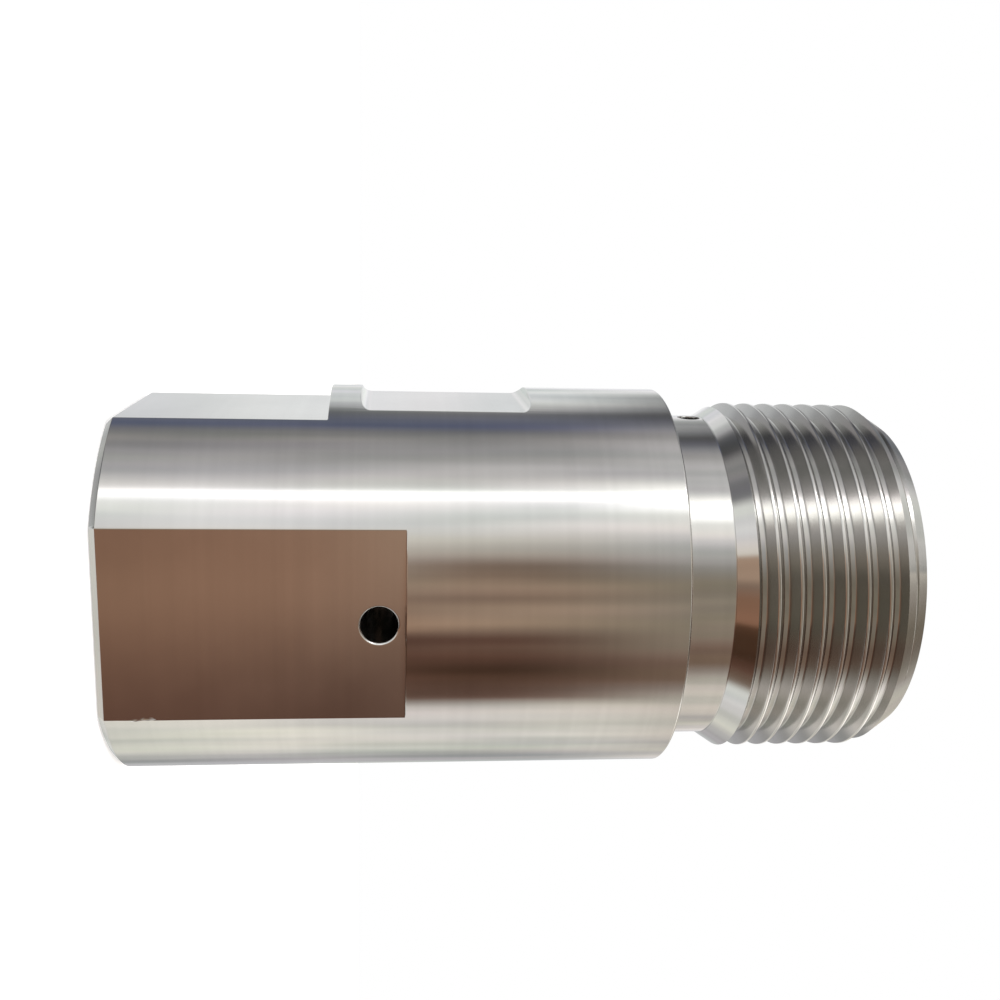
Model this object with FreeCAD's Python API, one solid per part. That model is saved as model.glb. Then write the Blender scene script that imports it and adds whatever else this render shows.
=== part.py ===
import FreeCAD, Part

import math
import os

from FreeCAD import Vector

# Waterjet cutting head body: one turned and milled steel piece.
# Millimetres. +Z runs along the turned axis from the plain end to the threaded end.
# The origin is the centre of the plain end face.

# Body
body_diameter = 73.0
shoulder_height = 100.2
plain_end_chamfer = 1.3
shoulder_edge_break = 0.4

# Relief neck under the shoulder
neck_diameter = 62.8
neck_length = 9.0
neck_corner_chamfer = 0.8

# Male thread, M68 x 4
thread_diameter = 68.0
thread_pitch = 4.0
thread_length = 31.0
thread_flank_angle = 60.0
thread_runout_length = 3.9
thread_lead_in_radial = 3.5
thread_lead_in_angle = 33.0
thread_crest_share = 1.0 / 8.0
thread_root_share = 1.0 / 4.0
# Arc over which the groove sinks to its full depth, and the side where it has reached it
thread_fade_arc = 90.0
thread_fade_sections = 7
thread_full_depth_angle = 180.0

# Main bore, open at the threaded end
bore_diameter = 48.6
bore_depth = 54.0
bore_mouth_chamfer = 0.8
bore_undercut_height = 1.0
bore_undercut_wall_depth = 0.3
bore_undercut_floor_width = 0.7
bore_undercut_floor_depth = 0.5
floor_rim_break = 0.4

# Through hole from the bore floor to the plain end
through_hole_diameter = 17.0
through_hole_bore_chamfer = 1.5
through_hole_end_chamfer = 0.8

# Wrench flats milled from the plain end, in two pairs
across_flats = 65.0
long_flat_length = 51.8
short_flat_length = 38.0

# Rib left standing after one short flat, and the shallow recess beyond it
rib_length = 5.6
recess_depth = 2.6
recess_length = 31.0
recess_fillet = 1.8

# Radial vents
flat_vent_diameter = 6.3
flat_vent_to_flat_end = 4.5
flat_vent_edge_break = 0.3
neck_vent_diameter = 4.2
neck_vent_to_neck_end = 2.3
neck_vent_edge_break = 0.2

# How far a cutting tool runs clear of the surface that it leaves
tool_overrun = 2.0
# Share of a crest's half width by which the groove tool widens above the crest
groove_overrun_share = 0.6
# Side of the piece where the turned surfaces start and end, clear of flats and vents
seam_angle = 45.0

body_radius = body_diameter / 2.0
neck_radius = neck_diameter / 2.0
thread_radius = thread_diameter / 2.0
bore_radius = bore_diameter / 2.0
through_hole_radius = through_hole_diameter / 2.0
flat_distance = across_flats / 2.0

neck_top = shoulder_height + neck_length
thread_start = neck_top + thread_runout_length
total_height = thread_start + thread_length
lead_in_height = thread_lead_in_radial / math.tan(math.radians(thread_lead_in_angle))
bore_floor = total_height - bore_depth
flat_vent_height = long_flat_length - flat_vent_to_flat_end
neck_vent_height = neck_top - neck_vent_to_neck_end
groove_start = neck_top + thread_pitch


def turned_body():
    """Full section of the piece, turned about Z, with its bore, undercut and through hole."""
    mouth_radius = bore_radius + bore_mouth_chamfer
    rim_radius = bore_radius - bore_undercut_floor_width
    undercut_radius = bore_radius + bore_undercut_wall_depth
    undercut_top = bore_floor + bore_undercut_height
    undercut_bottom = bore_floor - bore_undercut_floor_depth
    start = (through_hole_radius + through_hole_end_chamfer, 0.0)
    outline = [
        start,
        (body_radius - plain_end_chamfer, 0.0),
        (body_radius, plain_end_chamfer),
        (body_radius, shoulder_height - shoulder_edge_break),
        (body_radius - shoulder_edge_break, shoulder_height),
        (neck_radius + neck_corner_chamfer, shoulder_height),
        (neck_radius, shoulder_height + neck_corner_chamfer),
        (neck_radius, neck_top),
        (thread_radius, thread_start),
        (thread_radius, total_height - lead_in_height),
        (thread_radius - thread_lead_in_radial, total_height),
        (mouth_radius, total_height),
        (bore_radius, total_height - bore_mouth_chamfer),
        (bore_radius, undercut_top),
        (undercut_radius, undercut_top - bore_undercut_wall_depth),
        (undercut_radius, undercut_bottom),
        (rim_radius, undercut_bottom),
        (rim_radius, bore_floor - floor_rim_break),
        (rim_radius - floor_rim_break, bore_floor),
        (through_hole_radius + through_hole_bore_chamfer, bore_floor),
        (through_hole_radius, bore_floor - through_hole_bore_chamfer),
        (through_hole_radius, through_hole_end_chamfer),
        start,
    ]
    section = Part.Face(Part.makePolygon([Vector(radius, 0, height) for radius, height in outline]))
    section.rotate(Vector(0, 0, 0), Vector(0, 0, 1), seam_angle)
    return section.revolve(Vector(0, 0, 0), Vector(0, 0, 1), 360.0)


def wrench_flat_cutter(length, angle):
    """Tool for one wrench flat and the chamfer at its plain end, turned to its side of the piece."""
    outside = body_radius + tool_overrun
    corners = [
        Vector(0, flat_distance - plain_end_chamfer - tool_overrun, -tool_overrun),
        Vector(0, flat_distance, plain_end_chamfer),
        Vector(0, flat_distance, length),
        Vector(0, outside, length),
        Vector(0, outside, -tool_overrun),
    ]
    profile = Part.Face(Part.makePolygon(corners + corners[:1]))
    profile.translate(Vector(-outside, 0, 0))
    cutter = profile.extrude(Vector(2.0 * outside, 0, 0))
    cutter.rotate(Vector(0, 0, 0), Vector(0, 0, 1), angle)
    return cutter


def recess_cutter():
    """Shallow recess on the -X side, with a fillet at each end of its floor."""
    low = short_flat_length + rib_length
    high = low + recess_length
    floor = body_radius - recess_depth
    outside = body_radius + tool_overrun
    fillet = min(recess_fillet, recess_depth, recess_length / 2.5)
    bend = fillet * (1.0 - math.cos(math.pi / 4.0))
    outline = [
        Part.LineSegment(Vector(-outside, 0, low), Vector(-floor - fillet, 0, low)).toShape(),
        Part.Arc(
            Vector(-floor - fillet, 0, low),
            Vector(-floor - bend, 0, low + bend),
            Vector(-floor, 0, low + fillet),
        ).toShape(),
        Part.LineSegment(Vector(-floor, 0, low + fillet), Vector(-floor, 0, high - fillet)).toShape(),
        Part.Arc(
            Vector(-floor, 0, high - fillet),
            Vector(-floor - bend, 0, high - bend),
            Vector(-floor - fillet, 0, high),
        ).toShape(),
        Part.LineSegment(Vector(-floor - fillet, 0, high), Vector(-outside, 0, high)).toShape(),
        Part.LineSegment(Vector(-outside, 0, high), Vector(-outside, 0, low)).toShape(),
    ]
    width = body_diameter
    face = Part.Face(Part.Wire(outline))
    face.translate(Vector(0, -width / 2.0, 0))
    return face.extrude(Vector(0, width, 0))


def radial_vent(diameter, edge_break, height, surface_distance, direction):
    """Drill for a vent from the outside into the hollow at the axis, with its edge broken."""
    radius = diameter / 2.0
    drill = Part.makeCylinder(
        radius, surface_distance + tool_overrun, Vector(0, 0, height), direction
    )
    mouth = Vector(0, 0, height) + direction * (surface_distance - edge_break)
    cone_length = edge_break + tool_overrun
    countersink = Part.makeCone(radius, radius + cone_length, cone_length, mouth, direction)
    return drill.fuse(countersink)


def groove_outline(lift, angle):
    """Outline of the thread groove at this angle about Z, lifted outwards and set back down its helix."""
    half_angle = math.tan(math.radians(thread_flank_angle / 2.0))
    crest_half_width = thread_pitch * thread_crest_share / 2.0
    root_half_width = thread_pitch * thread_root_share / 2.0
    crest_half_gap = thread_pitch / 2.0 - crest_half_width
    root_radius = thread_radius - (crest_half_gap - root_half_width) / half_angle
    overrun = groove_overrun_share * crest_half_width
    top_radius = thread_radius + overrun / half_angle
    top_half_width = crest_half_gap + overrun
    rise = lift * (thread_radius - root_radius)
    corners = [
        Vector(root_radius + rise, 0, -root_half_width),
        Vector(top_radius + rise, 0, -top_half_width),
        Vector(top_radius + rise, 0, top_half_width),
        Vector(root_radius + rise, 0, root_half_width),
    ]
    outline = Part.makePolygon(corners + corners[:1])
    outline.rotate(Vector(0, 0, 0), Vector(0, 0, 1), thread_full_depth_angle + angle)
    outline.translate(Vector(0, 0, groove_start + thread_pitch * angle / 360.0))
    return outline


def thread_fade_in():
    """First arc of the groove, which sinks from the crest to its full depth."""
    outlines = []
    for section in range(thread_fade_sections):
        left = 1.0 - section / (thread_fade_sections - 1)
        outlines.append(groove_outline(left, -thread_fade_arc * left))
    return Part.makeLoft(outlines, True, False)


def thread_turn():
    """One right-handed turn of the groove at full depth, from where it has faded in."""
    helix = Part.makeHelix(thread_pitch, thread_pitch, thread_radius)
    helix.rotate(Vector(0, 0, 0), Vector(0, 0, 1), thread_full_depth_angle)
    helix.translate(Vector(0, 0, groove_start))
    return Part.Wire(helix).makePipeShell([groove_outline(0.0, 0.0)], True, True)


def cut_thread(body):
    """Male thread, faded in and then cut turn by turn until the groove has left the end face."""
    body = body.cut(thread_fade_in())
    turns = math.ceil((total_height + thread_pitch / 2.0 - groove_start) / thread_pitch)
    for turn in range(turns):
        groove = thread_turn()
        groove.translate(Vector(0, 0, turn * thread_pitch))
        body = body.cut(groove)
    return body


def head_body():
    """The whole piece: turned, milled, drilled and threaded."""
    body = turned_body()
    flats = [
        wrench_flat_cutter(long_flat_length, 180.0),
        wrench_flat_cutter(long_flat_length, 0.0),
        wrench_flat_cutter(short_flat_length, 90.0),
        wrench_flat_cutter(short_flat_length, -90.0),
    ]
    for cutter in flats:
        body = body.cut(cutter)
    body = body.cut(recess_cutter())
    body = body.cut(
        radial_vent(
            flat_vent_diameter, flat_vent_edge_break, flat_vent_height, flat_distance, Vector(0, -1, 0)
        )
    )
    body = body.cut(
        radial_vent(
            neck_vent_diameter, neck_vent_edge_break, neck_vent_height, neck_radius, Vector(-1, 0, 0)
        )
    )
    return cut_thread(body)


os.makedirs("parts", exist_ok=True)
piece = head_body()
print("head_body solids:", len(piece.Solids), "valid:", piece.isValid(), "height:", total_height)
piece.Solids[0].exportStep("parts/head_body.step")
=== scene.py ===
import math

import bpy
from mathutils import Matrix, Vector


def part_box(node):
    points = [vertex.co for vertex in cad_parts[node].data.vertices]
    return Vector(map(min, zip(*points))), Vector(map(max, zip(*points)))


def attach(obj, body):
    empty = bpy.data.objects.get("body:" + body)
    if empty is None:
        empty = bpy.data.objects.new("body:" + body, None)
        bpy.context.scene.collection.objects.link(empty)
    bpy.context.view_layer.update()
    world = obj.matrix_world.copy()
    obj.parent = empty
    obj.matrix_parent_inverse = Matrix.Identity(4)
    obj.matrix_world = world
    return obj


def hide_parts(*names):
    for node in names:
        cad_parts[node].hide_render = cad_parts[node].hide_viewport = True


bl_info = {
    "name": "Waterjet Head Body",
    "version": (1, 0, 0),
    "blender": (4, 5, 0),
    "location": "View3D > Sidebar > Head Body",
    "description": "Builds a turned and milled waterjet cutting head body",
    "category": "Object",
}

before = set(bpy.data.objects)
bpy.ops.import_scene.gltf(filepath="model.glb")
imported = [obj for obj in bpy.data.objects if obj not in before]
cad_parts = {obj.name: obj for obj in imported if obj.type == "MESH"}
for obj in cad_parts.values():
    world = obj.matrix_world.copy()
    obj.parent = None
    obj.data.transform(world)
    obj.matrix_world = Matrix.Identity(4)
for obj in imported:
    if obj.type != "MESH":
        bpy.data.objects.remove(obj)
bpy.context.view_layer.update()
PACKED_LOW, PACKED_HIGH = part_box("head_body")
MM = 0.001
# Slack when points, edges and faces are picked by their place
LIMIT = 1e-5
# Points nearer than this become one: in a new outline, after a cut, and along the groove
MERGE = 1e-6
CUT_MERGE = 2e-6
GROOVE_MERGE = 5e-7
# Share of a normal or an edge that has to lie along an axis when it is picked by its direction
ALONG = 0.9
# How far a tool runs clear of the surface that it cuts
OVERRUN = 2.0 * MM
# Broken edges of the vent in the flat and the vent in the neck
FLAT_VENT_BREAK = 0.3 * MM
NECK_VENT_BREAK = 0.2 * MM
# Steps round a vent, a fillet of the recess, a dulled edge, a corner of the groove and a turn of the thread
VENT_STEPS = 64
FILLET_STEPS = 10
DULLED_STEPS = 2
CORNER_STEPS = 5
TURN_STEPS = 192
# Angle between the thread's flanks, and how far the groove's tool stands above the crest
FLANK_ANGLE = math.radians(60.0)
GROOVE_CLEARANCE = 0.05 * MM
# The groove's first end: the arc over which it fades in, its steps, and its lift as a share of the depth
FADE_ARC = math.pi / 2.0
FADE_STEPS = 24
FADE_LIFT = 1.05
# Edges sharper than the first are dulled, and edges sharper than the second stay sharp in the shading
DULLED_ANGLE = math.radians(18.0)
SHADED_ANGLE = math.radians(16.0)
# Two nicks on the lower edge of the front flat, as centre and reach in millimetres
NICKS = (
    ((16.45, -32.62, 8.6), (0.32, 0.3, 1.5)),
    ((16.7, -32.5, 6.4), (0.25, 0.3, 0.9)),
)


class BodySizes(bpy.types.PropertyGroup):
    """Sizes of the turned outside and of what is milled into it"""

    diameter: bpy.props.FloatProperty(
        name="Body diameter", description="Across the turned body", default=73.0 * MM, unit="LENGTH"
    )
    length: bpy.props.FloatProperty(
        name="Length",
        description="From the plain end to the threaded end",
        default=PACKED_HIGH.z - PACKED_LOW.z,
        unit="LENGTH",
    )
    shoulder: bpy.props.FloatProperty(
        name="Shoulder height", description="Where the body steps down", default=100.2 * MM, unit="LENGTH"
    )
    end_chamfer: bpy.props.FloatProperty(
        name="End chamfer", description="Chamfer round the plain end", default=1.3 * MM, unit="LENGTH"
    )
    shoulder_break: bpy.props.FloatProperty(
        name="Shoulder break", description="Broken edge of the shoulder", default=0.4 * MM, unit="LENGTH"
    )
    across_flats: bpy.props.FloatProperty(
        name="Across flats", description="Between opposite wrench flats", default=65.0 * MM, unit="LENGTH"
    )
    long_flat: bpy.props.FloatProperty(
        name="Long flat", description="Length of the front and back flats", default=51.8 * MM, unit="LENGTH"
    )
    short_flat: bpy.props.FloatProperty(
        name="Short flat", description="Length of the side flats", default=38.0 * MM, unit="LENGTH"
    )
    rib: bpy.props.FloatProperty(
        name="Rib", description="Left standing beyond one short flat", default=5.6 * MM, unit="LENGTH"
    )
    recess_length: bpy.props.FloatProperty(
        name="Recess length", description="Shallow recess beyond the rib", default=31.0 * MM, unit="LENGTH"
    )
    recess_depth: bpy.props.FloatProperty(
        name="Recess depth", description="Below the turned body", default=2.6 * MM, unit="LENGTH"
    )
    recess_fillet: bpy.props.FloatProperty(
        name="Recess fillet", description="Radius at the ends of its floor", default=1.8 * MM, unit="LENGTH"
    )
    edge_round: bpy.props.FloatProperty(
        name="Edge rounding", description="Width of the dulled sharp edges", default=0.13 * MM, unit="LENGTH"
    )
    segments: bpy.props.IntProperty(
        name="Segments", description="Steps round the turned surfaces", default=256, min=64, max=512
    )


class ThreadSizes(bpy.types.PropertyGroup):
    """Sizes of the relief neck and the male thread"""

    neck_diameter: bpy.props.FloatProperty(
        name="Neck diameter", description="Relief neck under the shoulder", default=62.8 * MM, unit="LENGTH"
    )
    neck_length: bpy.props.FloatProperty(
        name="Neck length", description="From the shoulder to the runout", default=9.0 * MM, unit="LENGTH"
    )
    neck_corner: bpy.props.FloatProperty(
        name="Neck corner", description="Chamfer in the neck's corner", default=0.8 * MM, unit="LENGTH"
    )
    runout: bpy.props.FloatProperty(
        name="Runout", description="Taper from the neck to the thread", default=3.9 * MM, unit="LENGTH"
    )
    diameter: bpy.props.FloatProperty(
        name="Thread diameter", description="Over the crests", default=68.0 * MM, unit="LENGTH"
    )
    pitch: bpy.props.FloatProperty(
        name="Pitch", description="Rise of one turn", default=4.0 * MM, unit="LENGTH"
    )
    lead_in: bpy.props.FloatProperty(
        name="Lead-in", description="Radial depth of the lead-in chamfer", default=3.5 * MM, unit="LENGTH"
    )
    lead_in_angle: bpy.props.FloatProperty(
        name="Lead-in angle",
        description="Angle of the lead-in chamfer to the axis",
        default=math.radians(33.0),
        subtype="ANGLE",
    )
    crest: bpy.props.FloatProperty(
        name="Crest", description="Width of the flat crest", default=0.5 * MM, unit="LENGTH"
    )
    root: bpy.props.FloatProperty(
        name="Root", description="Width of the flat root", default=1.0 * MM, unit="LENGTH"
    )
    edge_round: bpy.props.FloatProperty(
        name="Crest rounding", description="Radius beside the crest", default=0.2 * MM, unit="LENGTH"
    )
    root_round: bpy.props.FloatProperty(
        name="Root rounding", description="Radius beside the root", default=0.3 * MM, unit="LENGTH"
    )


class HollowSizes(bpy.types.PropertyGroup):
    """Sizes of the bore, the through hole and the vents"""

    bore: bpy.props.FloatProperty(
        name="Bore diameter", description="Main bore", default=48.6 * MM, unit="LENGTH"
    )
    depth: bpy.props.FloatProperty(
        name="Bore depth", description="From the threaded end to the floor", default=54.0 * MM, unit="LENGTH"
    )
    mouth: bpy.props.FloatProperty(
        name="Bore mouth", description="Chamfer at the bore's mouth", default=0.8 * MM, unit="LENGTH"
    )
    undercut_height: bpy.props.FloatProperty(
        name="Undercut height", description="Relief above the floor", default=1.0 * MM, unit="LENGTH"
    )
    undercut_wall: bpy.props.FloatProperty(
        name="Undercut in the wall", description="Depth into the bore wall", default=0.3 * MM, unit="LENGTH"
    )
    undercut_width: bpy.props.FloatProperty(
        name="Undercut width", description="Relief in the floor by the wall", default=0.7 * MM, unit="LENGTH"
    )
    undercut_depth: bpy.props.FloatProperty(
        name="Undercut depth", description="Depth into the bore floor", default=0.5 * MM, unit="LENGTH"
    )
    rim: bpy.props.FloatProperty(
        name="Floor rim", description="Broken rim of the bore floor", default=0.4 * MM, unit="LENGTH"
    )
    hole: bpy.props.FloatProperty(
        name="Through hole", description="Diameter of the straight hole", default=17.0 * MM, unit="LENGTH"
    )
    hole_mouth: bpy.props.FloatProperty(
        name="Hole mouth", description="Chamfer in the bore floor", default=1.5 * MM, unit="LENGTH"
    )
    hole_end: bpy.props.FloatProperty(
        name="Hole end", description="Chamfer at the plain end", default=0.8 * MM, unit="LENGTH"
    )
    flat_vent: bpy.props.FloatProperty(
        name="Flat vent", description="Vent in the front flat", default=6.3 * MM, unit="LENGTH"
    )
    flat_vent_height: bpy.props.FloatProperty(
        name="Flat vent height", description="Above the plain end", default=47.3 * MM, unit="LENGTH"
    )
    neck_vent: bpy.props.FloatProperty(
        name="Neck vent", description="Vent in the relief neck", default=4.2 * MM, unit="LENGTH"
    )
    neck_vent_height: bpy.props.FloatProperty(
        name="Neck vent height", description="Above the plain end", default=106.9 * MM, unit="LENGTH"
    )


class SteelLook(bpy.types.PropertyGroup):
    """Colours and gloss of the bare steel, with the thread's flanks and roots darker as painted shade in its
    grooves
    """

    colour: bpy.props.FloatVectorProperty(
        name="Steel",
        description="Bare steel",
        default=(0.655, 0.645, 0.63),
        subtype="COLOR",
        min=0.0,
        max=1.0,
    )
    turned_gloss: bpy.props.FloatProperty(
        name="Turned roughness",
        description="Turned outside",
        default=0.12,
        subtype="FACTOR",
        min=0.0,
        max=1.0,
    )
    # Darker than the bare steel: painted shade in the thread's grooves, on its flanks and roots
    thread_painted_shade_colour: bpy.props.FloatVectorProperty(
        name="Threaded steel",
        description="Flanks and roots of the thread",
        default=(0.5, 0.49, 0.475),
        subtype="COLOR",
        min=0.0,
        max=1.0,
    )
    thread_gloss: bpy.props.FloatProperty(
        name="Threaded roughness",
        description="Flanks and roots",
        default=0.16,
        subtype="FACTOR",
        min=0.0,
        max=1.0,
    )
    milled_gloss: bpy.props.FloatProperty(
        name="Milled roughness", description="Flats", default=0.18, subtype="FACTOR", min=0.0, max=1.0
    )
    bored_gloss: bpy.props.FloatProperty(
        name="Bored roughness", description="Inside", default=0.2, subtype="FACTOR", min=0.0, max=1.0
    )


class StageLook(bpy.types.PropertyGroup):
    """Floor and camera"""

    lens: bpy.props.FloatProperty(
        name="Lens", description="Focal length in millimetres", default=41.4
    )
    camera_place: bpy.props.FloatVectorProperty(
        name="Camera place",
        description="Where the camera stands",
        default=(-0.0634, -0.2182, 0.0491),
        subtype="TRANSLATION",
    )
    camera_yaw: bpy.props.FloatProperty(
        name="Yaw", description="Turn towards the threaded end", default=0.097, subtype="ANGLE"
    )
    camera_pitch: bpy.props.FloatProperty(
        name="Pitch", description="Tilt towards the body", default=-0.219, subtype="ANGLE"
    )
    camera_roll: bpy.props.FloatProperty(
        name="Roll", description="Turn about the line of sight", default=0.028, subtype="ANGLE"
    )
    floor_size: bpy.props.FloatProperty(
        name="Floor size", description="Side of the square floor", default=3.0, unit="LENGTH"
    )


def clear_selection():
    """Leave edit mode and select nothing."""
    if bpy.context.object and bpy.context.object.mode != "OBJECT":
        bpy.ops.object.mode_set(mode="OBJECT")
    bpy.ops.object.select_all(action="DESELECT")


def make_active(piece):
    """Select one piece alone."""
    clear_selection()
    piece.select_set(True)
    bpy.context.view_layer.objects.active = piece


def select_in(piece, kind, test):
    """Enter edit mode with those vertices, edges or faces selected that pass the test."""
    make_active(piece)
    mesh = piece.data
    for items in (mesh.vertices, mesh.edges, mesh.polygons):
        items.foreach_set("select", [False] * len(items))
    if kind == "VERT":
        for vertex in mesh.vertices:
            vertex.select = test(vertex.co, vertex.normal)
    elif kind == "EDGE":
        for edge in mesh.edges:
            a, b = (mesh.vertices[i].co for i in edge.vertices)
            edge.select = test((a + b) / 2.0, (b - a).normalized())
    else:
        for face in mesh.polygons:
            face.select = test(face.center, face.normal)
    bpy.ops.object.mode_set(mode="EDIT")
    bpy.context.tool_settings.mesh_select_mode = (kind == "VERT", kind == "EDGE", kind == "FACE")
    bpy.ops.mesh.select_mode(type=kind)


def place_in_mesh(piece):
    """Put the piece's place, turn and scale into its mesh."""
    make_active(piece)
    bpy.ops.object.transform_apply(location=True, rotation=True, scale=True)


def turn_outline(name, outline, segments):
    """Turn a closed outline of radius and height about Z, one ring after another."""
    clear_selection()
    radius, height = outline[0]
    bpy.ops.mesh.primitive_circle_add(vertices=segments, radius=radius, location=(0, 0, height))
    piece = bpy.context.object
    piece.name = name
    place_in_mesh(piece)
    bpy.ops.object.mode_set(mode="EDIT")
    bpy.ops.mesh.select_all(action="SELECT")
    for next_radius, next_height in outline[1:]:
        bpy.ops.mesh.extrude_edges_move()
        scale = next_radius / radius
        bpy.ops.transform.resize(value=(scale, scale, 1.0), center_override=(0, 0, height))
        bpy.ops.transform.translate(value=(0, 0, next_height - height))
        radius, height = next_radius, next_height
    bpy.ops.mesh.select_all(action="SELECT")
    bpy.ops.mesh.remove_doubles(threshold=MERGE)
    bpy.ops.mesh.normals_make_consistent(inside=False)
    bpy.ops.object.mode_set(mode="OBJECT")
    return piece


def blank_outline(body, thread, hollow):
    """Closed outline of the turned blank, from the through hole round the outside and back."""
    radius = body.diameter / 2.0
    neck = thread.neck_diameter / 2.0
    crest = thread.diameter / 2.0
    bore = hollow.bore / 2.0
    hole = hollow.hole / 2.0
    floor = body.length - hollow.depth
    neck_top = body.shoulder + thread.neck_length
    lead_in_height = thread.lead_in / math.tan(thread.lead_in_angle)
    rim = bore - hollow.undercut_width
    undercut_top = floor + hollow.undercut_height
    start = (hole + hollow.hole_end, 0.0)
    return [
        start,
        (radius - body.end_chamfer, 0.0),
        (radius, body.end_chamfer),
        (radius, body.shoulder - body.shoulder_break),
        (radius - body.shoulder_break, body.shoulder),
        (neck + thread.neck_corner, body.shoulder),
        (neck, body.shoulder + thread.neck_corner),
        (neck, neck_top),
        (crest, neck_top + thread.runout),
        (crest, body.length - lead_in_height),
        (crest - thread.lead_in, body.length),
        (bore + hollow.mouth, body.length),
        (bore, body.length - hollow.mouth),
        (bore, undercut_top),
        (bore + hollow.undercut_wall, undercut_top - hollow.undercut_wall),
        (bore + hollow.undercut_wall, floor - hollow.undercut_depth),
        (rim, floor - hollow.undercut_depth),
        (rim, floor - hollow.rim),
        (rim - hollow.rim, floor),
        (hole + hollow.hole_mouth, floor),
        (hole, floor - hollow.hole_mouth),
        (hole, hollow.hole_end),
        start,
    ]


def cut(piece, tool):
    """Cut the tool out of the piece and remove the tool."""
    make_active(piece)
    modifier = piece.modifiers.new("Cut", "BOOLEAN")
    modifier.operation = "DIFFERENCE"
    modifier.solver = "EXACT"
    modifier.object = tool
    bpy.ops.object.modifier_apply(modifier=modifier.name)
    bpy.data.objects.remove(tool)
    bpy.ops.object.mode_set(mode="EDIT")
    bpy.ops.mesh.select_all(action="SELECT")
    bpy.ops.mesh.remove_doubles(threshold=CUT_MERGE)
    bpy.ops.object.mode_set(mode="OBJECT")


def box_tool(low, high):
    """Box between two corners, its place in its mesh."""
    clear_selection()
    low, high = Vector(low), Vector(high)
    bpy.ops.mesh.primitive_cube_add(size=1.0, location=(low + high) / 2.0, scale=high - low)
    tool = bpy.context.object
    place_in_mesh(tool)
    return tool


def flat_tool(body, length, angle):
    """Tool for one wrench flat, its low end splayed inwards for the chamfer, turned to its side."""
    inside = body.across_flats / 2.0
    reach = body.diameter / 2.0 + OVERRUN
    low = body.end_chamfer
    tool = box_tool((-reach, -reach, low), (reach, -inside, length))
    select_in(tool, "FACE", lambda centre, normal: normal.z < -ALONG)
    bpy.ops.mesh.extrude_region_move(TRANSFORM_OT_translate={"value": (0, 0, -low - OVERRUN)})
    bpy.ops.object.mode_set(mode="OBJECT")
    select_in(tool, "VERT", lambda co, normal: co.z < LIMIT - OVERRUN / 2.0 and co.y > -inside - LIMIT)
    bpy.ops.transform.translate(value=(0, low + OVERRUN, 0))
    bpy.ops.mesh.select_all(action="SELECT")
    bpy.ops.mesh.normals_make_consistent(inside=False)
    bpy.ops.object.mode_set(mode="OBJECT")
    tool.rotation_euler = (0, 0, angle)
    place_in_mesh(tool)
    return tool


def recess_tool(body):
    """Tool for the shallow recess on -X, with a fillet at each end of its floor."""
    low = body.short_flat + body.rib
    floor = body.diameter / 2.0 - body.recess_depth
    reach = body.diameter / 2.0 + 2.0 * OVERRUN
    tool = box_tool((-reach, -reach, low), (-floor, reach, low + body.recess_length))
    select_in(tool, "EDGE", lambda centre, line: abs(line.y) > ALONG and centre.x > -floor - LIMIT)
    bpy.ops.mesh.bevel(offset=body.recess_fillet, segments=FILLET_STEPS, affect="EDGES")
    bpy.ops.object.mode_set(mode="OBJECT")
    return tool


def vent_tool(diameter, height, surface, edge_break, direction):
    """Drill from outside into the hollow, widened at the surface to break the edge."""
    clear_selection()
    bpy.ops.mesh.primitive_cylinder_add(
        vertices=VENT_STEPS, radius=diameter / 2.0, depth=surface - edge_break, end_fill_type="NGON"
    )
    tool = bpy.context.object
    tool.location = (0, 0, (surface - edge_break) / 2.0)
    place_in_mesh(tool)
    select_in(tool, "FACE", lambda centre, normal: normal.z > ALONG)
    bpy.ops.mesh.extrude_region_move(TRANSFORM_OT_translate={"value": (0, 0, edge_break + OVERRUN)})
    widen = (diameter / 2.0 + edge_break + OVERRUN) / (diameter / 2.0)
    bpy.ops.transform.resize(value=(widen, widen, 1.0))
    bpy.ops.object.mode_set(mode="OBJECT")
    tool.rotation_mode = "QUATERNION"
    tool.rotation_quaternion = Vector(direction).to_track_quat("Z", "Y")
    tool.location = (0, 0, height)
    place_in_mesh(tool)
    return tool


def groove_outline(thread):
    """Closed outline of the thread groove, as radius and height from its middle, with rounded corners."""
    crest_radius = thread.diameter / 2.0
    half_gap = (thread.pitch - thread.crest) / 2.0
    slope = math.tan(FLANK_ANGLE / 2.0)
    root_radius = crest_radius - (half_gap - thread.root / 2.0) / slope
    side = []
    for step in range(CORNER_STEPS + 1):
        turn = FLANK_ANGLE * step / CORNER_STEPS
        side.append((
            root_radius + thread.root_round * (1.0 - math.cos(turn)),
            thread.root / 2.0 - thread.root_round * (slope - math.sin(turn)),
        ))
    for step in range(CORNER_STEPS):
        turn = FLANK_ANGLE * (1.0 - step / CORNER_STEPS)
        side.append((
            crest_radius - thread.edge_round * (1.0 - math.cos(turn)),
            half_gap + thread.edge_round * (slope - math.sin(turn)),
        ))
    last_turn = FLANK_ANGLE / CORNER_STEPS
    radius, height = side[-1]
    rise = crest_radius - radius + GROOVE_CLEARANCE
    side.append((radius + rise, height + rise / math.tan(last_turn)))
    return side + [(radius, -height) for radius, height in reversed(side)]


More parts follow.
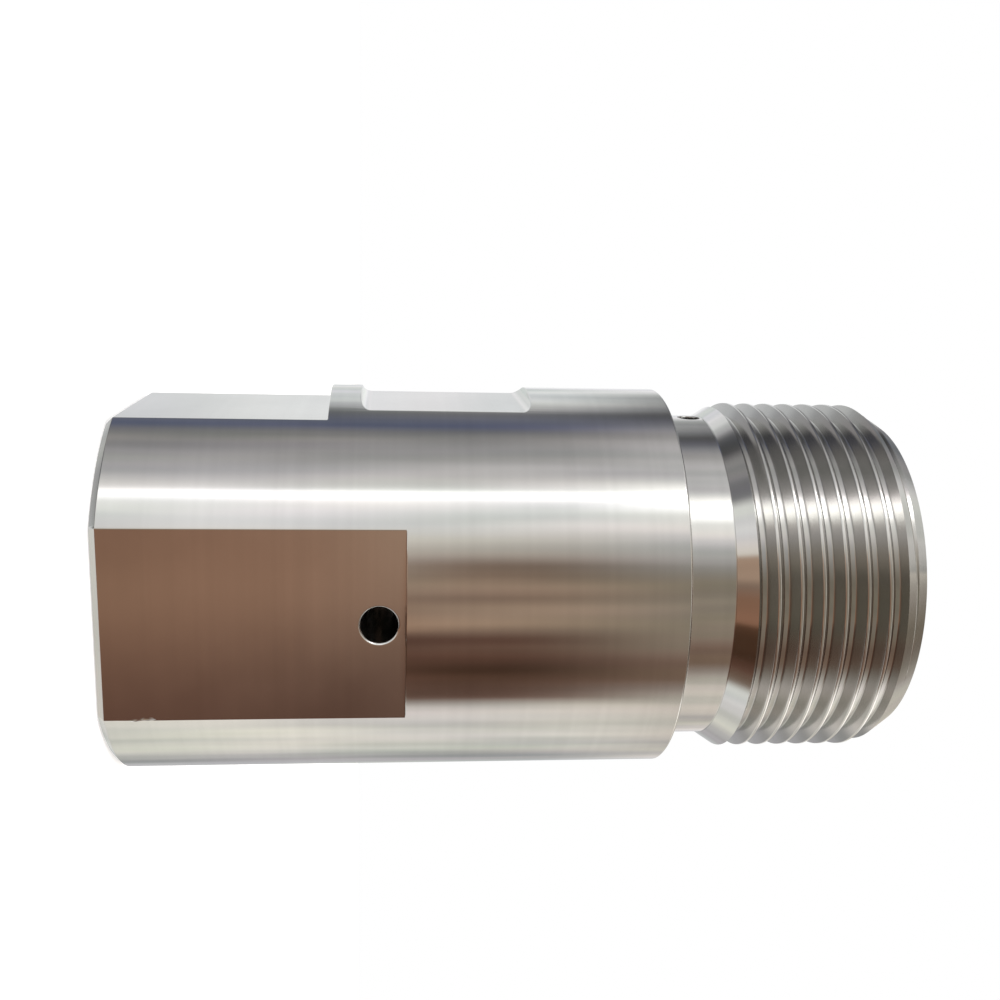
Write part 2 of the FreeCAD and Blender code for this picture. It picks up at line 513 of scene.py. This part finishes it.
def groove_tool(body, thread):
    """The thread groove, a right-handed helix that fades in at -X and runs out through the end face."""
    clear_selection()
    outline = groove_outline(thread)
    bpy.ops.mesh.primitive_circle_add(vertices=len(outline), radius=thread.root)
    tool = bpy.context.object
    start = body.shoulder + thread.neck_length + thread.pitch
    for vertex, (radius, height) in zip(tool.data.vertices, outline):
        vertex.co = (-radius, 0.0, start + height)
    turns = math.ceil((body.length + thread.pitch / 2.0 - start) / thread.pitch)
    make_active(tool)
    modifier = tool.modifiers.new("Helix", "SCREW")
    modifier.axis = "Z"
    modifier.angle = 2.0 * math.pi
    modifier.screw_offset = thread.pitch
    modifier.iterations = turns
    modifier.steps = TURN_STEPS
    modifier.render_steps = TURN_STEPS
    modifier.use_normal_calculate = True
    bpy.ops.object.modifier_apply(modifier=modifier.name)
    bpy.ops.object.mode_set(mode="EDIT")
    bpy.ops.mesh.select_all(action="SELECT")
    bpy.ops.mesh.remove_doubles(threshold=GROOVE_MERGE)
    bpy.ops.mesh.fill_holes(sides=0)
    bpy.ops.mesh.normals_make_consistent(inside=False)
    bpy.ops.object.mode_set(mode="OBJECT")
    fade_in(tool, thread, start)
    return tool


def fade_in(tool, thread, start):
    """Draw the groove's first end back down its helix, out of the crest step by step."""
    depth = thread.diameter / 2.0 - min(radius for radius, height in groove_outline(thread))
    drop = thread.pitch * FADE_ARC / FADE_STEPS / (2.0 * math.pi)
    lift = FADE_LIFT * depth / FADE_STEPS
    low = start + thread.pitch / 4.0

    def first_end(centre, normal):
        return abs(normal.y) > ALONG and centre.z < low and abs(centre.y) < LIMIT and centre.x < 0.0

    select_in(tool, "FACE", first_end)
    for step in range(1, FADE_STEPS + 1):
        angle = math.pi - FADE_ARC * step / FADE_STEPS
        bpy.ops.mesh.extrude_region_move(TRANSFORM_OT_translate={"value": (0, 0, -drop)})
        bpy.ops.transform.rotate(value=FADE_ARC / FADE_STEPS, orient_axis="Z", center_override=(0, 0, 0))
        bpy.ops.transform.translate(value=(lift * math.cos(angle), lift * math.sin(angle), 0))
    bpy.ops.object.mode_set(mode="OBJECT")


def dull_edges(piece, width, top):
    """Round the sharp edges a little below a height, as a file leaves them."""
    select_in(piece, "FACE", lambda centre, normal: centre.z > top - LIMIT)
    bpy.ops.mesh.hide()
    bpy.ops.mesh.select_all(action="DESELECT")
    bpy.ops.mesh.select_mode(type="EDGE")
    bpy.ops.mesh.edges_select_sharp(sharpness=DULLED_ANGLE)
    bpy.ops.mesh.bevel(
        offset=width, segments=DULLED_STEPS, affect="EDGES", clamp_overlap=False, miter_outer="ARC"
    )
    bpy.ops.mesh.reveal(select=False)
    bpy.ops.mesh.select_all(action="SELECT")
    bpy.ops.mesh.remove_doubles(threshold=MERGE)
    bpy.ops.object.mode_set(mode="OBJECT")


def nick_tool(place, size):
    """Rounded tool for a nick, its centre and reach given in millimetres."""
    clear_selection()
    bpy.ops.mesh.primitive_ico_sphere_add(
        subdivisions=2, radius=1.0, location=Vector(place) * MM, scale=Vector(size) * MM
    )
    tool = bpy.context.object
    place_in_mesh(tool)
    return tool


def smooth(piece):
    """Shade smooth but for the sharp edges, with large faces leading the normals."""
    make_active(piece)
    bpy.ops.object.shade_smooth_by_angle(angle=SHADED_ANGLE)
    modifier = piece.modifiers.new("Normals", "WEIGHTED_NORMAL")
    modifier.keep_sharp = True
    modifier.weight = 100
    bpy.ops.object.modifier_apply(modifier=modifier.name)


def node(tree, kind, **values):
    """New shader node with its settings."""
    item = tree.nodes.new(kind)
    for name, value in values.items():
        setattr(item, name, value)
    return item


def noise_node(tree, place, scale, detail, dimensions="3D"):
    """Noise over a place, or along one length."""
    noise = node(tree, "ShaderNodeTexNoise", noise_dimensions=dimensions)
    noise.inputs["Scale"].default_value = scale
    noise.inputs["Detail"].default_value = detail
    tree.links.new(place, noise.inputs["W" if dimensions == "1D" else "Vector"])
    return noise


def range_node(tree, value, reached, given=(0.0, 1.0), **settings):
    """Value moved from the range where it is given to the range that it has to reach."""
    mapped = node(tree, "ShaderNodeMapRange", **settings)
    for name, limit in zip(("From Min", "From Max", "To Min", "To Max"), (*given, *reached)):
        mapped.inputs[name].default_value = limit
    tree.links.new(value, mapped.inputs["Value"])
    return mapped.outputs["Result"]


def math_node(tree, operation, *values):
    """Result of an operation on numbers and sockets."""
    item = node(tree, "ShaderNodeMath", operation=operation)
    for value, socket in zip(values, item.inputs):
        if isinstance(value, float):
            socket.default_value = value
        else:
            tree.links.new(value, socket)
    return item.outputs[0]


# Noise in the steel, in waves a metre, and its detail: fine and broad tool marks, and smears
FINE_MARKS = 9000.0
FINE_DETAIL = 3.0
BROAD_MARKS = 420.0
BROAD_DETAIL = 2.0
SMEARS = 38.0
SMEAR_DETAIL = 4.0
# Range that holds nearly all of a noise's values
NOISE_MIDDLE = (0.3, 0.7)
# Roughness where a smear is brightest and dullest, as shares of the finish's own
BRIGHTEST = 0.75
DULLEST = 1.3
# Tone across the broad tool marks
TONE = (0.96, 1.04)
# How far the fine marks turn the surface, and their depth
MARK_STRENGTH = 0.06
MARK_DEPTH = 0.01 * MM
# Turn that lays the streaks of the highlights across the tool marks
STREAK_TURN = 0.25
# How far the highlights are drawn out, by finish. A faced end is like a milled flat
TURNED_STREAK = 0.8
MILLED_STREAK = 0.7
THREAD_STREAK = 0.4
BORED_STREAK = 0.6
# How far the smears change the tone, on an even finish and on a blotched one
EVEN = 0.04
BLOTCHED = 0.09


def new_steel(name, colour, roughness, streak, coordinate, unevenness=EVEN):
    """Bare steel with fine tool marks along one coordinate, height along Z or radius from the axis."""
    material = bpy.data.materials.new(name)
    material.use_nodes = True
    tree = material.node_tree
    link = tree.links.new
    shader = tree.nodes["Principled BSDF"]
    shader.inputs["Metallic"].default_value = 1.0
    shader.inputs["Anisotropic"].default_value = streak
    shader.inputs["Anisotropic Rotation"].default_value = STREAK_TURN
    place = node(tree, "ShaderNodeTexCoord").outputs["Object"]
    split = node(tree, "ShaderNodeSeparateXYZ")
    link(place, split.inputs[0])
    if coordinate == "HEIGHT":
        along = split.outputs["Z"]
    else:
        flat = node(tree, "ShaderNodeCombineXYZ")
        link(split.outputs["X"], flat.inputs[0])
        link(split.outputs["Y"], flat.inputs[1])
        radius = node(tree, "ShaderNodeVectorMath", operation="LENGTH")
        link(flat.outputs[0], radius.inputs[0])
        along = radius.outputs["Value"]
    marks = noise_node(tree, along, FINE_MARKS, FINE_DETAIL, "1D")
    broad = noise_node(tree, along, BROAD_MARKS, BROAD_DETAIL, "1D")
    smear = noise_node(tree, place, SMEARS, SMEAR_DETAIL)
    gloss = range_node(tree, smear.outputs["Fac"], (roughness * BRIGHTEST, roughness * DULLEST))
    link(gloss, shader.inputs["Roughness"])
    tone = range_node(tree, broad.outputs["Fac"], TONE)
    clouds = range_node(tree, smear.outputs["Fac"], (1.0 - unevenness, 1.0 + unevenness), NOISE_MIDDLE)
    tint = node(tree, "ShaderNodeVectorMath", operation="SCALE")
    tint.inputs[0].default_value = colour
    link(math_node(tree, "MULTIPLY", tone, clouds), tint.inputs["Scale"])
    link(tint.outputs["Vector"], shader.inputs["Base Color"])
    bump = node(tree, "ShaderNodeBump")
    bump.inputs["Strength"].default_value = MARK_STRENGTH
    bump.inputs["Distance"].default_value = MARK_DEPTH
    link(marks.outputs["Fac"], bump.inputs["Height"])
    link(bump.outputs["Normal"], shader.inputs["Normal"])
    tangent = node(tree, "ShaderNodeTangent", direction_type="RADIAL", axis="Z")
    link(tangent.outputs[0], shader.inputs["Tangent"])
    return material


def finishes(steel):
    """The five finishes of the bare steel."""
    colour = tuple(steel.colour)
    thread_painted_shade_colour = tuple(steel.thread_painted_shade_colour)
    return {
        "turned": new_steel("Turned steel", colour, steel.turned_gloss, TURNED_STREAK, "HEIGHT"),
        "milled": new_steel("Milled steel", colour, steel.milled_gloss, MILLED_STREAK, "HEIGHT", BLOTCHED),
        # The threaded finish is rougher, and takes the darker colour as painted shade in the grooves
        "threaded": new_steel("Threaded steel", thread_painted_shade_colour, steel.thread_gloss, THREAD_STREAK, "HEIGHT"),
        "faced": new_steel("Faced steel", colour, steel.milled_gloss, MILLED_STREAK, "RADIUS"),
        "bored": new_steel("Bored steel", colour, steel.bored_gloss, BORED_STREAK, "HEIGHT"),
    }


# How near a face's normal lies to a cone's, and how far below the crest the thread's own finish starts:
# rougher, and darker as painted shade in the grooves
CONE_MATCH = 0.05
CREST_SKIN = 0.08 * MM
# Share of a normal along one axis that makes a face a milled one, and how far out such faces reach
FLATNESS = 0.9999
FLAT_REACH = 2.0 * MM


def finish_test(body, thread, hollow):
    """Function that names the finish of a face, from its centre and its normal."""
    flat_edge = body.across_flats / 2.0 + FLAT_REACH
    inside = hollow.bore / 2.0 + hollow.mouth / 2.0
    neck_top = body.shoulder + thread.neck_length
    crest = thread.diameter / 2.0
    taper = -math.sin(math.atan2(crest - thread.neck_diameter / 2.0, thread.runout))
    lead_in = math.sin(thread.lead_in_angle)

    def finish_of(centre, normal):
        radius = math.hypot(centre.x, centre.y)
        if radius < inside and centre.z > LIMIT and abs(normal.z) < ALONG:
            return "bored"
        if abs(normal.z) > ALONG:
            return "faced"
        plain_cone = min(abs(normal.z - taper), abs(normal.z - lead_in)) < CONE_MATCH
        # Flanks and roots below the crest get the darker threaded steel, painted shade in the grooves; the
        # crests stay turned steel
        if centre.z > neck_top + LIMIT and radius < crest - CREST_SKIN and not plain_cone:
            return "threaded"
        square = max(abs(normal.x), abs(normal.y)) > FLATNESS
        if square and centre.z < body.shoulder and max(abs(centre.x), abs(centre.y)) < flat_edge:
            return "milled"
        return "turned"

    return finish_of


def assign(piece, materials, finish_of):
    """Give each face the material of its finish."""
    piece.data.materials.clear()
    order = list(materials)
    for name in order:
        piece.data.materials.append(materials[name])
    for face in piece.data.polygons:
        face.material_index = order.index(finish_of(face.center, face.normal))


class BODY_OT_head_body(bpy.types.Operator):
    """Turn, mill, drill and thread the head body"""

    bl_idname = "headbody.head_body"
    bl_label = "Head Body"

    def execute(self, context):
        scene = context.scene
        body = scene.body_sizes
        thread = scene.thread_sizes
        hollow = scene.hollow_sizes
        flat = body.across_flats / 2.0
        neck = thread.neck_diameter / 2.0
        piece = turn_outline("steel_head_body", blank_outline(body, thread, hollow), body.segments)
        tools = [
            flat_tool(body, body.long_flat, 0.0),
            flat_tool(body, body.long_flat, math.pi),
            flat_tool(body, body.short_flat, math.pi / 2.0),
            flat_tool(body, body.short_flat, -math.pi / 2.0),
            recess_tool(body),
            vent_tool(hollow.flat_vent, hollow.flat_vent_height, flat, FLAT_VENT_BREAK, (0, -1, 0)),
            vent_tool(hollow.neck_vent, hollow.neck_vent_height, neck, NECK_VENT_BREAK, (-1, 0, 0)),
            groove_tool(body, thread),
        ]
        for tool in tools:
            cut(piece, tool)
        dull_edges(piece, body.edge_round, body.shoulder + thread.neck_length)
        for place, size in NICKS:
            cut(piece, nick_tool(place, size))
        smooth(piece)
        assign(piece, finishes(scene.steel_look), finish_test(body, thread, hollow))
        if not piece.data.polygons:
            raise RuntimeError("the head body came out empty")
        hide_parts("head_body")
        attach(piece, "root")
        return {"FINISHED"}


def ramp_node(tree, stops):
    """Colour ramp with the given places and colours."""
    ramp = node(tree, "ShaderNodeValToRGB")
    elements = ramp.color_ramp.elements
    elements[0].position, elements[0].color = stops[0][0], (*stops[0][1], 1.0)
    elements[1].position, elements[1].color = stops[-1][0], (*stops[-1][1], 1.0)
    for place, colour in stops[1:-1]:
        element = elements.new(place)
        element.color = (*colour, 1.0)
    return ramp


# Colours of the studio
PALETTE = {
    "pale": (0.88, 0.9, 0.91),
    "bright": (1.25, 1.25, 1.25),
    "white": (0.95, 0.96, 0.94),
    "cream": (0.93, 0.91, 0.84),
    "stone": (0.8, 0.76, 0.69),
    "chalk": (0.68, 0.64, 0.57),
    "linen": (0.6, 0.56, 0.49),
    "putty": (0.39, 0.33, 0.25),
    "tan": (0.46, 0.325, 0.235),
    "copper": (0.56, 0.325, 0.208),
    "brick": (0.32, 0.17, 0.108),
    "clay": (0.28, 0.19, 0.14),
    "umber": (0.19, 0.105, 0.075),
    "rust": (0.14, 0.068, 0.047),
    "bark": (0.19, 0.155, 0.115),
    "loam": (0.09, 0.046, 0.026),
    "peat": (0.065, 0.032, 0.018),
    "sage": (0.3, 0.27, 0.215),
    "haze": (0.67, 0.67, 0.67),
    "grey": (0.44, 0.44, 0.44),
    "ash": (0.34, 0.335, 0.33),
    "slate": (0.2, 0.205, 0.22),
    "dusk": (0.13, 0.15, 0.23),
    "soot": (0.085, 0.085, 0.085),
    "lamp": (1.9, 1.9, 1.9),
    "beam": (6.0, 6.0, 6.0),
    "glare": (1.6, 1.58, 1.5),
}
# Walls of the studio: what hangs round the piece, by its degrees from the front towards the rib
FACING = (
    (-180, "pale"), (-127, "grey"), (-110, "cream"), (-76, "cream"), (-69, "stone"), (-62, "umber"),
    (-43, "peat"), (-34, "rust"), (-28, "umber"), (-23, "rust"), (-18, "clay"), (-14, "tan"), (-4, "tan"),
    (1, "clay"), (8, "tan"), (14, "clay"), (20, "clay"), (29, "linen"), (34, "stone"), (43, "white"),
    (57, "bright"), (60, "lamp"), (63, "lamp"), (65, "white"), (72, "haze"), (88, "grey"), (101, "ash"),
    (107, "slate"), (112, "dusk"), (126, "slate"), (140, "pale"), (180, "pale"),
)
FLAT_SIDE = (
    (-180, "pale"), (-127, "grey"), (-110, "cream"), (-76, "cream"), (-69, "stone"), (-62, "umber"),
    (-28, "rust"), (-21.5, "rust"), (-18.8, "brick"), (-17.8, "copper"), (-16.8, "copper"),
    (-15.6, "brick"), (-12, "brick"), (1, "clay"), (29, "linen"), (34, "stone"), (43, "white"),
    (57, "bright"), (60, "lamp"), (63, "lamp"), (65, "white"), (72, "haze"), (88, "grey"), (101, "ash"),
    (107, "slate"), (112, "dusk"), (126, "slate"), (140, "pale"), (180, "pale"),
)
THREAD_SIDE = (
    (-180, "pale"), (-112, "chalk"), (-74, "chalk"), (-62, "linen"), (-50, "clay"), (-38, "clay"),
    (-28, "putty"), (-18, "putty"), (-8, "sage"), (10, "sage"), (22, "grey"), (31, "haze"), (41, "white"),
    (50, "white"), (55, "lamp"), (64, "lamp"), (68, "bright"), (76, "haze"), (96, "haze"), (110, "grey"),
    (119, "slate"), (128, "soot"), (138, "slate"), (156, "grey"), (168, "pale"), (180, "pale"),
)
PLAIN_SIDE = (
    (-180, "pale"), (-104, "stone"), (-95, "white"), (-76, "white"), (-71, "clay"), (-60, "rust"),
    (-52, "peat"), (-28, "loam"), (-25, "brick"), (-6, "brick"), (4, "clay"), (11, "tan"), (28, "tan"),
    (31, "stone"), (50, "white"), (69, "white"), (76, "slate"), (82, "slate"), (98, "ash"), (105, "ash"),
    (113, "soot"), (134, "soot"), (146, "ash"), (180, "pale"),
)
BEYOND = (
    (-180, "slate"), (-150, "linen"), (-125, "linen"), (-110, "glare"), (-75, "glare"), (-65, "stone"),
    (-55, "clay"), (-40, "clay"), (-26, "sage"), (14, "sage"), (30, "linen"), (44, "white"), (54, "glare"),
    (60, "beam"), (67, "beam"), (71, "bright"), (82, "haze"), (92, "grey"), (106, "slate"), (116, "soot"),
    (132, "soot"), (145, "grey"), (165, "slate"), (180, "slate"),
)
OVERHEAD = (
    (-180, "slate"), (-145, "linen"), (-125, "linen"), (-110, "bark"), (-85, "bark"), (-70, "stone"),
    (110, "stone"), (122, "ash"), (131, "white"), (140, "white"), (148, "ash"), (166, "slate"),
    (180, "slate"),
)
# The walls beside the facing one. Each has the degrees, from square to the axis towards the threaded end,
# at which it starts to show and at which it hides the walls before it
WALLS = (
    (FLAT_SIDE, 2.0, -3.0),
    (PLAIN_SIDE, -18.0, -26.0),
    (THREAD_SIDE, 7.0, 17.0),
    (BEYOND, 18.0, 25.0),
    (OVERHEAD, 43.0, 52.0),
)
# Patches on the walls: their noise's scale and detail, their level, and the reach and base of their tint
PATCHES = 5.0
PATCH_DETAIL = 2.0
PATCH_LEVEL = (0.8, 1.2)
TINT_REACH = (0.16, 0.16, 0.16)
TINT_BASE = (0.92, 0.92, 0.92)
WHITE = (1.0, 1.0, 1.0, 1.0)
# The floor's own colour, and the glow that makes it white to the camera
FLOOR_COLOUR = (0.8, 0.8, 0.8, 1.0)
FLOOR_GLOW = 0.45
# The lamps' side, the point that they look at, and where each stands with its power
LAMP_SIZE = 0.9
LAMP_AIM = (0.0, 0.0, 0.07)
LAMPS = {
    "Key lamp": ((-0.5, -0.7, 0.9), 9.0),
    "Fill lamp": ((0.8, -0.4, 0.7), 5.0),
    "Back lamp": ((0.1, 0.9, 0.8), 4.0),
}
# The camera's sensor in millimetres, and the nearest that it sees
SENSOR_WIDTH = 36.0
NEAREST = 10.0 * MM


def wall_colour(tree, share, bands):
    """Colours of one wall, by the share of a full turn round the piece."""
    stops = [((degrees + 180.0) / 360.0, PALETTE[name]) for degrees, name in bands]
    ramp = ramp_node(tree, stops)
    tree.links.new(share, ramp.inputs["Fac"])
    return ramp.outputs["Color"]


def show_to_camera(tree, output_kind, elsewhere, seen):
    """Put out one shader where the camera looks straight at it, and the other elsewhere."""
    path = node(tree, "ShaderNodeLightPath")
    mix = node(tree, "ShaderNodeMixShader")
    tree.links.new(path.outputs["Is Camera Ray"], mix.inputs["Fac"])
    tree.links.new(elsewhere.outputs[0], mix.inputs[1])
    tree.links.new(seen.outputs[0], mix.inputs[2])
    output = node(tree, output_kind)
    tree.links.new(mix.outputs[0], output.inputs["Surface"])


def room(context):
    """Studio that the steel mirrors, by the side that it lies on, and plain white to the camera."""
    world = bpy.data.worlds.new("Studio")
    context.scene.world = world
    world.use_nodes = True
    tree = world.node_tree
    tree.nodes.clear()
    link = tree.links.new
    place = node(tree, "ShaderNodeTexCoord").outputs["Generated"]
    split = node(tree, "ShaderNodeSeparateXYZ")
    link(place, split.inputs[0])
    side = math_node(tree, "MULTIPLY", split.outputs["X"], -1.0)
    front = math_node(tree, "MULTIPLY", split.outputs["Y"], -1.0)
    angle = math_node(tree, "ARCTAN2", side, front)
    share = range_node(tree, angle, (0.0, 1.0), (-math.pi, math.pi))
    colour = wall_colour(tree, share, FACING)
    for bands, starts, ends in WALLS:
        levels = (math.sin(math.radians(starts)), math.sin(math.radians(ends)))
        blend = range_node(tree, split.outputs["Z"], (0.0, 1.0), levels, interpolation_type="SMOOTHSTEP")
        both = node(tree, "ShaderNodeMix", data_type="RGBA")
        link(blend, both.inputs["Factor"])
        link(colour, both.inputs[6])
        link(wall_colour(tree, share, bands), both.inputs[7])
        colour = both.outputs[2]
    patches = noise_node(tree, place, PATCHES, PATCH_DETAIL)
    level = range_node(tree, patches.outputs["Fac"], PATCH_LEVEL, NOISE_MIDDLE)
    tints = node(tree, "ShaderNodeVectorMath", operation="MULTIPLY_ADD")
    link(patches.outputs["Color"], tints.inputs[0])
    tints.inputs[1].default_value = TINT_REACH
    tints.inputs[2].default_value = TINT_BASE
    tinted = node(tree, "ShaderNodeVectorMath", operation="MULTIPLY")
    link(colour, tinted.inputs[0])
    link(tints.outputs[0], tinted.inputs[1])
    mirrored = node(tree, "ShaderNodeBackground")
    link(tinted.outputs[0], mirrored.inputs["Color"])
    link(level, mirrored.inputs["Strength"])
    seen = node(tree, "ShaderNodeBackground")
    seen.inputs["Color"].default_value = WHITE
    show_to_camera(tree, "ShaderNodeOutputWorld", mirrored, seen)


def floor_material():
    """Pale floor that keeps a soft shadow, and is white to the camera elsewhere."""
    material = bpy.data.materials.new("Pale floor")
    material.use_nodes = True
    tree = material.node_tree
    tree.nodes.clear()
    matt = node(tree, "ShaderNodeBsdfDiffuse")
    matt.inputs["Color"].default_value = FLOOR_COLOUR
    glow = node(tree, "ShaderNodeEmission")
    glow.inputs["Strength"].default_value = FLOOR_GLOW
    both = node(tree, "ShaderNodeAddShader")
    tree.links.new(matt.outputs[0], both.inputs[0])
    tree.links.new(glow.outputs[0], both.inputs[1])
    show_to_camera(tree, "ShaderNodeOutputMaterial", matt, both)
    return material


def soft_lamp(name, place, power):
    """Soft square lamp that looks at the middle of the piece and isn't mirrored in it."""
    bpy.ops.object.light_add(type="AREA", location=place)
    lamp = bpy.context.object
    lamp.name = name
    lamp.data.size = LAMP_SIZE
    lamp.data.energy = power
    aim = Vector(LAMP_AIM) - Vector(place)
    lamp.rotation_mode = "QUATERNION"
    lamp.rotation_quaternion = aim.to_track_quat("-Z", "Y")
    lamp.visible_glossy = False


def hero_camera(look):
    """Camera at the photograph's viewing angle, with the turned axis across the picture."""
    yaw, pitch, roll = look.camera_yaw, look.camera_pitch, look.camera_roll
    ahead = Vector((math.sin(yaw) * math.cos(pitch), math.cos(yaw) * math.cos(pitch), math.sin(pitch)))
    right = ahead.cross(Vector((0, 0, 1))).normalized()
    up = right.cross(ahead)
    turned_right = math.cos(roll) * right + math.sin(roll) * up
    turned_up = -math.sin(roll) * right + math.cos(roll) * up

    def in_frame(line):
        """Turn a line so that the photograph's right is +Z and its up is -X."""
        return Vector((-line.z, line.y, line.x))

    columns = [in_frame(turned_right), in_frame(turned_up), in_frame(-ahead)]
    data = bpy.data.cameras.new("Hero camera")
    data.lens = look.lens
    data.sensor_width = SENSOR_WIDTH
    data.clip_start = NEAREST
    camera = bpy.data.objects.new("Hero camera", data)
    bpy.context.scene.collection.objects.link(camera)
    camera.matrix_world = Matrix.Translation(look.camera_place) @ Matrix(columns).transposed().to_4x4()
    bpy.context.scene.camera = camera


class BODY_OT_stage(bpy.types.Operator):
    """Set the floor, the soft light and the camera"""

    bl_idname = "headbody.stage"
    bl_label = "Stage"

    def execute(self, context):
        look = context.scene.stage_look
        context.scene.view_settings.view_transform = "Standard"
        clear_selection()
        bpy.ops.mesh.primitive_plane_add(size=look.floor_size)
        floor = context.object
        floor.name = "floor"
        floor.data.materials.append(floor_material())
        floor.visible_glossy = False
        for name, (place, power) in LAMPS.items():
            soft_lamp(name, place, power)
        room(context)
        hero_camera(look)
        return {"FINISHED"}


class BODY_PT_panel(bpy.types.Panel):
    """Lists the steps and sizes of the head body"""

    bl_idname = "BODY_PT_panel"
    bl_label = "Head Body"
    bl_space_type = "VIEW_3D"
    bl_region_type = "UI"
    bl_category = "Head Body"

    def draw(self, context):
        layout = self.layout
        for group, place in GROUPS.items():
            values = getattr(context.scene, place)
            for name in group.__annotations__:
                layout.prop(values, name)
        layout.operator("headbody.head_body")
        layout.operator("headbody.stage")


GROUPS = {
    BodySizes: "body_sizes",
    ThreadSizes: "thread_sizes",
    HollowSizes: "hollow_sizes",
    SteelLook: "steel_look",
    StageLook: "stage_look",
}
CLASSES = (*GROUPS, BODY_OT_head_body, BODY_OT_stage, BODY_PT_panel)


def register():
    """Make the classes and their settings known to Blender."""
    for item in CLASSES:
        bpy.utils.register_class(item)
    for group, name in GROUPS.items():
        setattr(bpy.types.Scene, name, bpy.props.PointerProperty(type=group))


def unregister():
    """Take the classes and their settings away again."""
    for name in GROUPS.values():
        delattr(bpy.types.Scene, name)
    for item in reversed(CLASSES):
        bpy.utils.unregister_class(item)


def main():
    """Build the piece and its stage."""
    register()
    bpy.ops.headbody.head_body()
    bpy.ops.headbody.stage()


if __name__ == "__main__":
    main()
